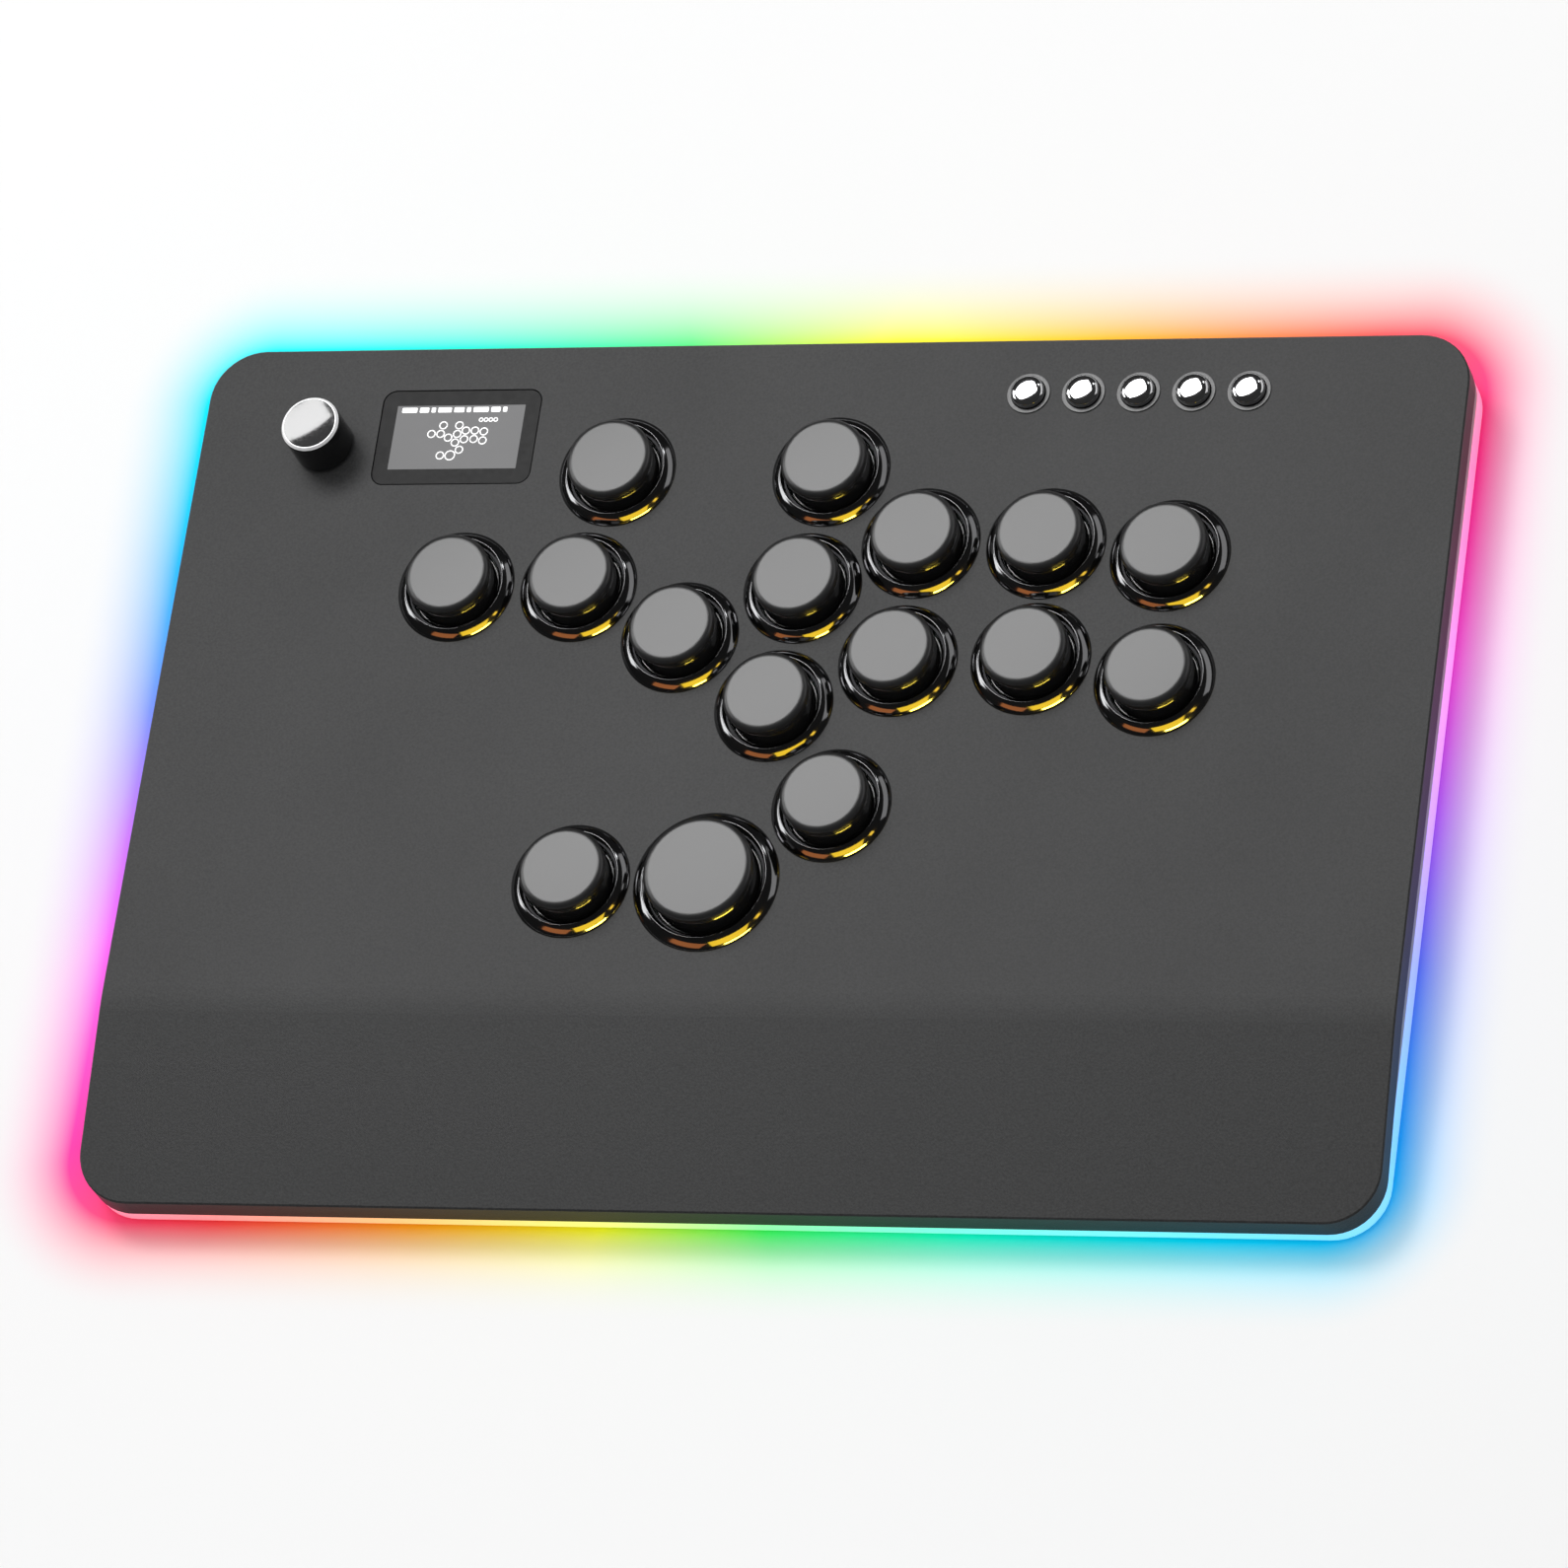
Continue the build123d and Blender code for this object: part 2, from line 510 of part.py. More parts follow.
def all_parts():
    parts = {
        "top_panel": top_panel(),
        "light_ring": light_ring(),
        "bottom_cover": bottom_cover(),
        "case_screws": case_screws(),
        "feet": feet(),
        "main_board": main_board(),
        "board_chips": board_chips(),
        "usb_socket": usb_socket(),
        "bezel_nuts": at_buttons(bezel_nut),
        "switch_housings": at_buttons(lambda size: switch_housing()),
        "switch_springs": at_buttons(lambda size: switch_spring()),
        "switch_sockets": at_buttons(
            lambda size: block_at(0, SOCKET_Y, SOCKET[0], SOCKET[1], BOARD_BOTTOM - SOCKET[2], BOARD_BOTTOM)),
        "menu_bezels": one_node(Pos(x, y, 0) * menu_bezel() for x, y in menu_spots()),
        "menu_switches": one_node(Pos(x, y, 0) * menu_switch() for x, y in menu_spots()),
        "encoder_body": encoder_body(),
        "encoder_nut": encoder_nut(),
        "encoder_plunger": rod(*KNOB_AT, SHAFT_R - 0.1, *CLICK_Z),
        "encoder_shaft": encoder_shaft(),
        "encoder_knob": encoder_knob(),
        "knob_disc": knob_disc(),
        "screen_window": screen_window(),
        "display_module": display_module(),
        "light_strip": light_strip(),
    }
    for name, (x, y), size in button_sizes():
        parts["bezel_" + name] = Pos(x, y, 0) * bezel(size)
        parts["cap_" + name] = Pos(x, y, 0) * key_cap(size)
    for number, (x, y) in enumerate(menu_spots(), 1):
        parts["menu_cap_%d" % number] = Pos(x, y, 0) * menu_cap()
    return parts


os.makedirs("parts", exist_ok=True)
for node, shape in all_parts().items():
    export_step(shape, "parts/" + node + ".step")
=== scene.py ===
import math
import bmesh
import bpy
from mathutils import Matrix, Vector


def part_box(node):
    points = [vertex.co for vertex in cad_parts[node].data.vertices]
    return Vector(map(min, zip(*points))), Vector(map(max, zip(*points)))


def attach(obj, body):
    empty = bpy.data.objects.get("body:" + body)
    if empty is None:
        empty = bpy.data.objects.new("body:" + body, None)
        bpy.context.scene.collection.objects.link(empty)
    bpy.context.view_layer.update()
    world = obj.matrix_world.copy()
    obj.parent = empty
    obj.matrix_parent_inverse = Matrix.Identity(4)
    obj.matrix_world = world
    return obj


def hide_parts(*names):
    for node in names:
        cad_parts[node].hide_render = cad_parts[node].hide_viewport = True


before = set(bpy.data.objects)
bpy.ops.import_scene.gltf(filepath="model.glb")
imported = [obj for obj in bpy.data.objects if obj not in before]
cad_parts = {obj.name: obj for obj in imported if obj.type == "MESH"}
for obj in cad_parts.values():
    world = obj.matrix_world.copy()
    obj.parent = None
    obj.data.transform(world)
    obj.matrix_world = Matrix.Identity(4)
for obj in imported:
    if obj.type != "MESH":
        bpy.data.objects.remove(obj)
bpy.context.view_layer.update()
MM = 0.001

# ---- Camera --------------------------------------------------------------------------------
# A long lens looks down on the case from the player's right, rolled until the rear edge of
# the case lies level in the picture.
camera = bpy.data.objects.new("camera", bpy.data.cameras.new("camera"))
camera.location = (0.5975, -0.7905, 1.6604)
camera.rotation_euler = [math.radians(turn) for turn in (26.707, 16.183, 8.075)]
camera.data.lens = 203.4
camera.data.sensor_width = 36.0
camera.data.clip_end = 20.0
bpy.context.scene.collection.objects.link(camera)
bpy.context.scene.camera = camera
bpy.context.scene.view_settings.view_transform = "Standard"


# ---- Studio --------------------------------------------------------------------------------
# A pale table under soft boxes. The big one hangs behind the case, where the flat tops
# of the caps mirror it; the fill lights the table without showing in the gloss. Warm lamps
# low in front reach the rims of the play buttons only. Near the case the table's colour
# carries a painted glow: the ring's coloured light, painted on.
class Wire:
    """The output of a shader node. Arithmetic on wires adds Math nodes."""

    def __init__(self, finish, socket):
        self.finish = finish
        self.socket = socket

    def math(self, operation, *others):
        return self.finish.node("Math", {"operation": operation}, [self, *others])

    def __add__(self, other):
        return self.math("ADD", other)

    def __sub__(self, other):
        return self.math("SUBTRACT", other)

    def __rsub__(self, other):
        return self.finish.node("Math", {"operation": "SUBTRACT"}, [other, self])

    def __mul__(self, other):
        return self.math("MULTIPLY", other)

    def __truediv__(self, other):
        return self.math("DIVIDE", other)

    __radd__ = __add__
    __rmul__ = __mul__


class Finish:
    """A material with one Principled shader and the nodes that feed it."""

    def __init__(self, name, **constants):
        self.material = bpy.data.materials.new(name)
        self.material.use_nodes = True
        self.tree = self.material.node_tree
        self.shader = self.tree.nodes["Principled BSDF"]
        for socket, value in constants.items():
            self.shader.inputs[socket.replace("_", " ")].default_value = value

    def node(self, kind, settings=None, inputs=(), output=0):
        """Adds a node: first its settings, then the values or wires of its sockets."""
        made = self.tree.nodes.new("ShaderNode" + kind)
        for key, value in (settings or {}).items():
            if key == "stops":
                while len(made.color_ramp.elements) < len(value):
                    made.color_ramp.elements.new(0.5)
                for element, (place, colour) in zip(made.color_ramp.elements, value):
                    element.position = place
                    element.color = (*colour, 1.0)
            else:
                setattr(made, key, value)
        pairs = inputs.items() if isinstance(inputs, dict) else enumerate(inputs)
        for socket, value in pairs:
            self.join(value, made.inputs[socket])
        return Wire(self, made.outputs[output])

    def join(self, value, socket):
        if isinstance(value, Wire):
            self.tree.links.new(value.socket, socket)
        else:
            socket.default_value = value

    def feed(self, socket, value):
        self.join(value, self.shader.inputs[socket])

    def place(self):
        """Where a point is in the row frame, in metres."""
        return self.node("TexCoord", output="Object")

    def noise(self, size, detail=2.0):
        """Noise from 0 to 1 whose features are about size metres across."""
        return self.node("TexNoise", {}, {"Vector": self.place(), "Scale": 1 / size, "Detail": detail})

    def tint(self, low, high, share):
        """A colour between low and high, each of them a colour or a wire."""
        low, high = [end if isinstance(end, Wire) else (*end, 1.0) for end in (low, high)]
        return self.node("Mix", {"data_type": "RGBA"}, {0: share, 6: low, 7: high}, 2)

    def vary(self, wander, dark, light, smooth, rough):
        """Lets the colour and the roughness follow a noise."""
        self.feed("Base Color", self.tint(dark, light, wander))
        self.feed("Roughness", between(wander, 0.3, 0.7, smooth, rough))

    def relief(self, height, depth):
        """Bumps of that depth, in metres, on the surface."""
        self.feed("Normal", self.node("Bump", {}, {"Distance": depth, "Height": height}, "Normal"))


def between(wire, low, high, bottom, top):
    """The wire, stretched from low..high to bottom..top."""
    inputs = {"Value": wire, "From Min": low, "From Max": high, "To Min": bottom, "To Max": top}
    return wire.finish.node("MapRange", {}, inputs)


TABLE_SIZE = 6.0
# The table's colour is white, and near the case it also carries the ring's glow as painted light (fed in
# below).
table_paint_and_glow = Finish("table_paint_and_glow", Roughness=0.9, Specular_IOR_Level=0.1)
table_white = table_paint_and_glow.tint((0.84, 0.84, 0.84), (0.87, 0.87, 0.87), table_paint_and_glow.noise(0.4))
table_paint_and_glow.feed("Base Color", table_white)
half = TABLE_SIZE / 2
table_mesh = bpy.data.meshes.new("table")
table_corners = [(-half, -half, 0), (half, -half, 0), (half, half, 0), (-half, half, 0)]
table_mesh.from_pydata(table_corners, [], [(0, 1, 2, 3)])
table = bpy.data.objects.new("table", table_mesh)
table.data.materials.append(table_paint_and_glow.material)
bpy.context.scene.collection.objects.link(table)


def soft_box(name, azimuth, elevation, distance, size, power, colour=(1, 1, 1), in_gloss=True, in_matt=True):
    """An area light that faces the case from a compass direction, measured from +X."""
    light = bpy.data.lights.new(name, "AREA")
    light.shape = "RECTANGLE"
    light.size, light.size_y = size
    light.energy = power
    light.color = colour
    lamp = bpy.data.objects.new(name, light)
    turn, rise = math.radians(azimuth), math.radians(elevation)
    direction = Vector((math.cos(turn) * math.cos(rise), math.sin(turn) * math.cos(rise), math.sin(rise)))
    lamp.location = direction * distance
    lamp.rotation_euler = direction.to_track_quat("Z", "Y").to_euler()
    lamp.visible_glossy = in_gloss
    lamp.visible_diffuse = in_matt
    bpy.context.scene.collection.objects.link(lamp)
    return lamp


soft_box("overhead_fill", 90, 88, 2.5, (3.0, 3.0), 54, in_gloss=False)
soft_box("key", 127, 59, 1.8, (0.6, 0.6), 9, in_gloss=False)
soft_box("cap_softbox", 123, 59, 1.6, (1.1, 0.7), 17.5, in_matt=False)
soft_box("left_softbox", 164, 34, 1.6, (0.8, 0.4), 4, in_matt=False)
soft_box("rear_card", 72, 44, 1.6, (0.12, 0.12), 0.3, in_matt=False)
soft_box("right_card", 34, 27, 1.3, (1.3, 0.6), 1.9, in_matt=False)
warm_lamps = [
    soft_box("warm_box", -68, 41, 1.2, (0.9, 0.6), 7.5, (1.0, 0.64, 0.03), in_matt=False),
    soft_box("warm_strip", -58, 19, 1.2, (0.7, 0.2), 24, (1.0, 0.74, 0.08), in_matt=False),
    soft_box("warm_card", -22, 40, 1.2, (0.14, 0.3), 0.6, (1.0, 0.62, 0.05), in_matt=False),
    soft_box("amber_card", -122, 34, 1.2, (0.7, 0.5), 1.5, (1.0, 0.32, 0.09), in_matt=False),
]
gilded = bpy.data.collections.new("gilded")
for lamp in warm_lamps:
    lamp.light_linking.receiver_collection = gilded

# The room's white walls light whatever is matt, and the polished parts see them dark.
ROOM_IN_GLOSS = 0.03
ROOM_ON_MATT = 0.3
world = bpy.data.worlds.new("studio")
world.use_nodes = True
sky = world.node_tree.nodes["Background"]
rays = world.node_tree.nodes.new("ShaderNodeLightPath")
level = world.node_tree.nodes.new("ShaderNodeMapRange")
level.inputs["To Min"].default_value = ROOM_ON_MATT
level.inputs["To Max"].default_value = ROOM_IN_GLOSS
world.node_tree.links.new(rays.outputs["Is Glossy Ray"], level.inputs["Value"])
world.node_tree.links.new(level.outputs[0], sky.inputs["Strength"])
sky.inputs["Color"].default_value = (1, 1, 1, 1)
bpy.context.scene.world = world


# ---- Top panel -----------------------------------------------------------------------------
# One bent sheet of steel with a skirt, powder coated in satin black: a fine even grain with a
# few brighter specks, and faint cloudiness where hands rest.
def coat(node, finish):
    """Gives a CAD node that finish."""
    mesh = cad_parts[node].data
    mesh.materials.clear()
    mesh.materials.append(finish.material)


PANEL_BLACK = (0.029, 0.0292, 0.0297)
GRAIN_CONTRAST = 0.55
GRAIN_DEPTH = 0.03 * MM
WINDOW_SUNK = 0.05                  # mm from the panel's face down to the display's window
panel_coat = Finish("panel_coat", Specular_IOR_Level=0.14)
grain = panel_coat.noise(0.5 * MM, 4.0)
clouds = panel_coat.noise(35 * MM, 2.0)
dark, light = [[c * (1 + way * GRAIN_CONTRAST) for c in PANEL_BLACK] for way in (-1, 1)]
panel_coat.feed("Base Color", panel_coat.tint(dark, light, grain))
panel_coat.feed("Roughness", between(grain + clouds, 0.6, 1.4, 0.37, 0.43))
panel_coat.relief(grain, GRAIN_DEPTH)
coat("top_panel", panel_coat)
panel_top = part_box("screen_window")[1].z + WINDOW_SUNK * MM

# ---- Light ring ----------------------------------------------------------------------------
# A frosted acrylic frame. Lamps behind it run twice through the rainbow on the way round, and
# the lip under the skirt stays grey.
RAINBOW = [
    (0.0, (0.0, 0.80, 1.0)),
    (0.09, (0.02, 1.0, 0.70)),
    (0.18, (0.12, 1.0, 0.25)),
    (0.27, (0.95, 0.95, 0.04)),
    (0.36, (1.0, 0.50, 0.03)),
    (0.44, (1.0, 0.12, 0.12)),
    (0.52, (1.0, 0.06, 0.40)),
    (0.62, (0.95, 0.14, 0.80)),
    (0.72, (0.60, 0.20, 1.0)),
    (0.82, (0.20, 0.30, 1.0)),
    (0.91, (0.03, 0.48, 1.0)),
    (1.0, (0.0, 0.80, 1.0)),
]
LAP_CENTRE = (-12 * MM, -8 * MM)
LAP_START = 2.73
ring_low, ring_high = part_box("light_ring")
LIP_Z, LIP_BLUR = 7.9 * MM, 0.6 * MM
LIP_GREY = (0.30, 0.30, 0.30)
LIT_WHITE = (0.55, 0.55, 0.56)


def rainbow(finish, side, rear):
    """The ring's colour at a place: two laps of the rainbow on the way round."""
    along, across = (rear - LAP_CENTRE[1]) / ring_high.y, (side - LAP_CENTRE[0]) / ring_high.x
    lap = (LAP_START - along.math("ARCTAN2", across) / math.pi).math("FRACT")
    return finish.node("ValToRGB", {"stops": RAINBOW}, [lap])


frosted = Finish("frosted_ring", IOR=1.49, Emission_Strength=0.75)
spot = frosted.place()
side, rear, height = [frosted.node("SeparateXYZ", {}, [spot], axis) for axis in "XYZ"]
glow = rainbow(frosted, side, rear)
lit = between(height, LIP_Z, LIP_Z - LIP_BLUR, 0.0, 1.0)
frosted.feed("Base Color", frosted.tint(LIP_GREY, LIT_WHITE, lit))
frosted.feed("Emission Color", frosted.tint((0, 0, 0), glow, lit))
frosted.feed("Roughness", between(frosted.noise(1.5 * MM), 0.3, 0.7, 0.3, 0.42))
coat("light_ring", frosted)

# The ring's coloured light on the table is painted into the table's colour, a painted glow, so
# it shows in the bright studio. It fades to white away from the ring, and reaches farther behind and to the
# left.
GLOW_REACH = 21 * MM
GLOW_REAR, GLOW_LEFT = 9 * MM, 8 * MM
GLOW_CORNER = 16 * MM
glow_x = (ring_low.x - GLOW_LEFT + ring_high.x) / 2
glow_y = (ring_high.y + GLOW_REAR + ring_low.y) / 2
spot = table_paint_and_glow.place()
side, rear = [table_paint_and_glow.node("SeparateXYZ", {}, [spot], axis) for axis in "XY"]
over_x = (side - glow_x).math("ABSOLUTE") - (ring_high.x - glow_x - GLOW_CORNER)
over_y = (rear - glow_y).math("ABSOLUTE") - (glow_y - ring_low.y - GLOW_CORNER)
past_x, past_y = over_x.math("MAXIMUM", 0.0), over_y.math("MAXIMUM", 0.0)
away = (past_x * past_x + past_y * past_y).math("SQRT") - GLOW_CORNER
painted_glow_share = between(away, 0.0, GLOW_REACH, 1.0, 0.0)
# Painted light: the ring's rainbow mixed into the table's white, strongest next to the ring.
table_paint_and_glow.feed("Base Color", table_paint_and_glow.tint(table_white, rainbow(table_paint_and_glow, side, rear), painted_glow_share * painted_glow_share))

# ---- Rims of the play buttons --------------------------------------------------------------
# Moulded nylon with a black chrome plating. Each rim rises from a thin lip to a sharp crest and
# falls inside in a hollowed cone; its barrel goes down through the panel to a round nut.
BUTTONS = ("left", "down", "right", "punch_1", "punch_2", "punch_3", "punch_4", "kick_1", "kick_2", "kick_3",
           "kick_4", "extra_1", "extra_2", "thumb_left", "thumb_right", "jump")
ROUND_STEPS = 120
SHARP_EDGE = math.radians(38)


def footprint(node):
    """The middle of a CAD node's box, and half its width in mm."""
    low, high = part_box(node)
    return (low + high) / 2, (high.x - low.x) / 2 / MM


def arc(start, middle, end, steps):
    """Points on the circle through three points of an outline, the first one left out."""
    (ax, ay), (bx, by), (cx, cy) = start, middle, end
    twice = 2 * (ax * (by - cy) + bx * (cy - ay) + cx * (ay - by))
    a2, b2, c2 = ax * ax + ay * ay, bx * bx + by * by, cx * cx + cy * cy
    ox = (a2 * (by - cy) + b2 * (cy - ay) + c2 * (ay - by)) / twice
    oy = (a2 * (cx - bx) + b2 * (ax - cx) + c2 * (bx - ax)) / twice
    radius = math.hypot(ax - ox, ay - oy)
    first = math.atan2(ay - oy, ax - ox)
    halfway = math.remainder(math.atan2(by - oy, bx - ox) - first, math.tau)
    sweep = halfway + math.remainder(math.atan2(cy - oy, cx - ox) - first - halfway, math.tau)
    turns = [first + sweep * n / steps for n in range(1, steps + 1)]
    return [(ox + radius * math.cos(turn), oy + radius * math.sin(turn)) for turn in turns]


def eased(points, radius, steps=5):
    """A closed outline with every corner rounded to that radius."""
    made = []
    for before, corner, after in zip(points[-1:] + points[:-1], points, points[1:] + points[:1]):
        here = Vector(corner)
        back, on = Vector(before) - here, Vector(after) - here
        reach = min(radius, back.length * 0.45, on.length * 0.45)
        start, end = here + back.normalized() * reach, here + on.normalized() * reach
        for n in range(steps + 1):
            share = n / steps
            made.append(tuple(start * (1 - share) ** 2 + here * 2 * share * (1 - share) + end * share ** 2))
    return made


def finish_piece(name, shape, finish, body):
    """Turns a bmesh into a smooth piece that rides on a body."""
    bmesh.ops.remove_doubles(shape, verts=shape.verts, dist=1e-7)
    bmesh.ops.recalc_face_normals(shape, faces=shape.faces)
    mesh = bpy.data.meshes.new(name)
    shape.to_mesh(mesh)
    shape.free()
    for face in mesh.polygons:
        face.use_smooth = True
    mesh.set_sharp_from_angle(angle=SHARP_EDGE)
    mesh.materials.append(finish.material)
    piece = bpy.data.objects.new(name, mesh)
    bpy.context.scene.collection.objects.link(piece)
    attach(piece, body)
    return piece


def turned(shape, outline, centre, base, steps=ROUND_STEPS):
    """Adds to a bmesh the solid that a closed outline sweeps about a vertical axis. The outline is
    a list of (radius, height) in mm, and steps is how many sides the solid has."""
    rings = []
    for radius, height in outline:
        count = steps if radius > 1e-6 else 1
        ring = []
        for n in range(count):
            angle = math.tau * n / steps
            ring.append(shape.verts.new((centre.x + radius * MM * math.cos(angle),
                                         centre.y + radius * MM * math.sin(angle), base + height * MM)))
        rings.append(ring)
    for low, high in zip(rings, rings[1:] + rings[:1]):
        for n in range(steps):
            corners = [low[n % len(low)], low[(n + 1) % len(low)]]
            corners += [high[(n + 1) % len(high)], high[n % len(high)]]
            corners = [v for m, v in enumerate(corners) if v not in corners[:m]]
            if len(corners) > 2:
                shape.faces.new(corners)


SMALL_RIM, LARGE_RIM = (11.25, 10.0), (14.0, 12.6)      # radii of the crest and of the bore
RIM_OVERHANG = 1.6
BEZEL_LIP, LIP_EASE = 0.25, 0.08
CREST_Z, THROAT_Z, BARREL_Z = 2.0, 0.5, -3.3
NOSE, NOSE_DROP = 0.07, 0.03
FLANK = (0.62, 0.45)                # shares of the way from the crest out to the lip, and down to it
SHELF, BULGE = (0.18, 0.62), (0.55, 0.33)   # the same from the bore out, and from the crest down


def bezel_outline(rim, crest, bore, barrel):
    """Section of a rim, in mm from the panel's face."""
    nose_out, nose_in = (crest + NOSE, CREST_Z - NOSE_DROP), (crest - NOSE, CREST_Z - NOSE_DROP)
    out_wide, in_wide = rim - nose_out[0], nose_in[0] - bore
    flank = (nose_out[0] + FLANK[0] * out_wide, CREST_Z - FLANK[1] * (CREST_Z - BEZEL_LIP))
    shelf = (bore + SHELF[0] * in_wide, CREST_Z - SHELF[1] * (CREST_Z - THROAT_Z))
    bulge = (bore + BULGE[0] * in_wide, CREST_Z - BULGE[1] * (CREST_Z - THROAT_Z))
    outline = eased([(bore, BARREL_Z), (barrel, BARREL_Z), (barrel, 0.0), (rim, 0.0)], LIP_EASE)
    outline += [(rim, BEZEL_LIP - LIP_EASE), (rim - 0.03, BEZEL_LIP)]
    outline += arc((rim, BEZEL_LIP), flank, nose_out, 16)
    outline += arc(nose_out, (crest, CREST_Z), nose_in, 6)
    outline += arc(nose_in, bulge, shelf, 14) + [(bore, THROAT_Z)]
    return outline


black_chrome = Finish("black_chrome", Metallic=1.0)
black_chrome.vary(black_chrome.noise(6 * MM, 3.0), (0.17, 0.17, 0.175), (0.21, 0.21, 0.215), 0.07, 0.12)
for button in BUTTONS:
    middle, rim = footprint("bezel_" + button)
    crest, bore = LARGE_RIM if button == "jump" else SMALL_RIM
    shape = bmesh.new()
    turned(shape, bezel_outline(rim, crest, bore, rim - RIM_OVERHANG), middle, panel_top)
    piece = finish_piece("rim_" + button, shape, black_chrome, "case")
    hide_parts("bezel_" + button)
    gilded.objects.link(piece)

# ---- Caps of the play buttons --------------------------------------------------------------
# Moulded ABS: a fine satin top with a soft shoulder, and a polished side that slides in the
# rim. Each is clipped on the stem of its keyswitch and moves with it.
CAP_TOP = 7.5
CAP_FOOT = -0.5
SHOULDER = 1.1
SHOULDER_WIDE = 1.6
SHOULDER_STEPS = 16
CAP_WALL, CAP_ROOF = 1.4, 1.9
HEM_EASE = 0.15
SATIN_FROM, SATIN_TO = 5.1, 5.8     # heights between which the polished side turns satin
SIDE_ROUGH, TOP_ROUGHER = 0.08, 0.22
cap_black = Finish("cap_black", IOR=1.6, Coat_IOR=2.1, Coat_Roughness=0.05)
height = cap_black.node("SeparateXYZ", {}, [cap_black.place()], "Z") - panel_top
on_top = between(height, SATIN_FROM * MM, SATIN_TO * MM, 0.0, 1.0)
satin = cap_black.noise(0.12 * MM, 2.0)
cap_black.feed("Base Color", cap_black.tint((0.010, 0.010, 0.0105), (0.017, 0.017, 0.0175), satin))
cap_black.feed("Roughness", on_top * TOP_ROUGHER + SIDE_ROUGH + satin * 0.04)
cap_black.feed("Coat Weight", 1 - on_top)
cap_black.relief(satin * on_top, 0.004 * MM)
STEM_WIDE, STEM_LONG, STEM_ROUND = 10.2, 4.5, 0.5
STEM_FOOT = -4.85
STEM_SPLIT = -1.8                   # below this it is two legs, either side of the spring
LEG_AT, LEG_WIDE = 3.6, 3.0
switch_stem = Finish("stem_nylon", IOR=1.53)
switch_stem.vary(switch_stem.noise(2 * MM), (0.20, 0.03, 0.02), (0.26, 0.04, 0.03), 0.36, 0.48)


def slab(shape, centre, width, length, radius, low, high, bevel=0.1, corner_steps=8):
    """Adds to a bmesh an upright block with rounded corners and bevelled edges. Its sizes are in mm
    and its two heights are measured from the panel's face."""
    levels = [(bevel, low), (0, low + bevel), (0, high - bevel), (bevel, high)]
    rings = []
    for inset, height in levels:
        ring = []
        for n in range(4 * (corner_steps + 1)):
            quarter, step = divmod(n, corner_steps + 1)
            angle = math.pi / 2 * (quarter + step / corner_steps)
            way_x, way_y = ((1, 1), (-1, 1), (-1, -1), (1, -1))[quarter]
            x = way_x * (width / 2 - radius) + (radius - inset) * math.cos(angle)
            y = way_y * (length / 2 - radius) + (radius - inset) * math.sin(angle)
            ring.append(shape.verts.new((centre.x + x * MM, centre.y + y * MM, panel_top + height * MM)))
        rings.append(ring)
    for below, above in zip(rings, rings[1:]):
        for n, corner in enumerate(below):
            after = (n + 1) % len(below)
            shape.faces.new([corner, below[after], above[after], above[n]])
    shape.faces.new(rings[-1])
    shape.faces.new(rings[0][::-1])


for button in BUTTONS:
    middle, radius = footprint("cap_" + button)
    outline = [(0, CAP_TOP), (0, CAP_TOP - CAP_ROOF), (radius - CAP_WALL, CAP_TOP - CAP_ROOF)]
    outline += eased([(radius - CAP_WALL, CAP_FOOT), (radius, CAP_FOOT)], HEM_EASE)
    for n in range(SHOULDER_STEPS + 1):
        turn = math.pi / 2 * n / SHOULDER_STEPS
        inset, drop = SHOULDER_WIDE * (1 - math.cos(turn)), SHOULDER * (1 - math.sin(turn))
        outline.append((radius - inset, CAP_TOP - drop))
    shape = bmesh.new()
    turned(shape, outline, middle, panel_top)
    piece = finish_piece("cap_top_" + button, shape, cap_black, "button_" + button)
    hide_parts("cap_" + button)
    shape = bmesh.new()
    slab(shape, middle, STEM_WIDE, STEM_LONG, STEM_ROUND, STEM_SPLIT, CAP_TOP - CAP_ROOF)
    for side in (-1, 1):
        leg = middle + Vector((side * LEG_AT * MM, 0, 0))
        slab(shape, leg, LEG_WIDE, STEM_LONG, STEM_ROUND, STEM_FOOT, STEM_SPLIT + 0.05)
    finish_piece("stem_" + button, shape, switch_stem, "button_" + button)

# ---- Menu buttons --------------------------------------------------------------------------
# Five small steel rims pressed into the panel, each with a chromed dome that clicks half a
# millimetre down on a tact switch.
MENU_COUNT = 5
MENU_RIM, MENU_BARREL, MENU_BORE = 4.9, 4.3, 3.95
MENU_RIM_TOP, MENU_RIM_FOOT, MENU_EASE = 0.3, -2.2, 0.1
MENU_STEPS = 72
MENU_CAP, CAP_HEM = 3.8, -2.5
STALK, STALK_FOOT = 2.2, -4.4
PLUNGER, PLUNGER_FOOT = 1.45, -6.2
DOME_TOP = 2.4
DOME_SHOULDER = 0.9
DOME_POWER = 3.0                    # 2 would be an ellipse; more is flatter on top
DOME_STEPS = 28
rim_steel = Finish("rim_steel", IOR=1.7)
rim_steel.vary(rim_steel.noise(0.3 * MM, 3.0), (0.018, 0.018, 0.0185), (0.03, 0.03, 0.031), 0.36, 0.44)
chrome = Finish("dome_chrome", Metallic=1.0)
chrome.vary(chrome.noise(3 * MM, 3.0), (0.72, 0.72, 0.73), (0.80, 0.80, 0.81), 0.05, 0.11)
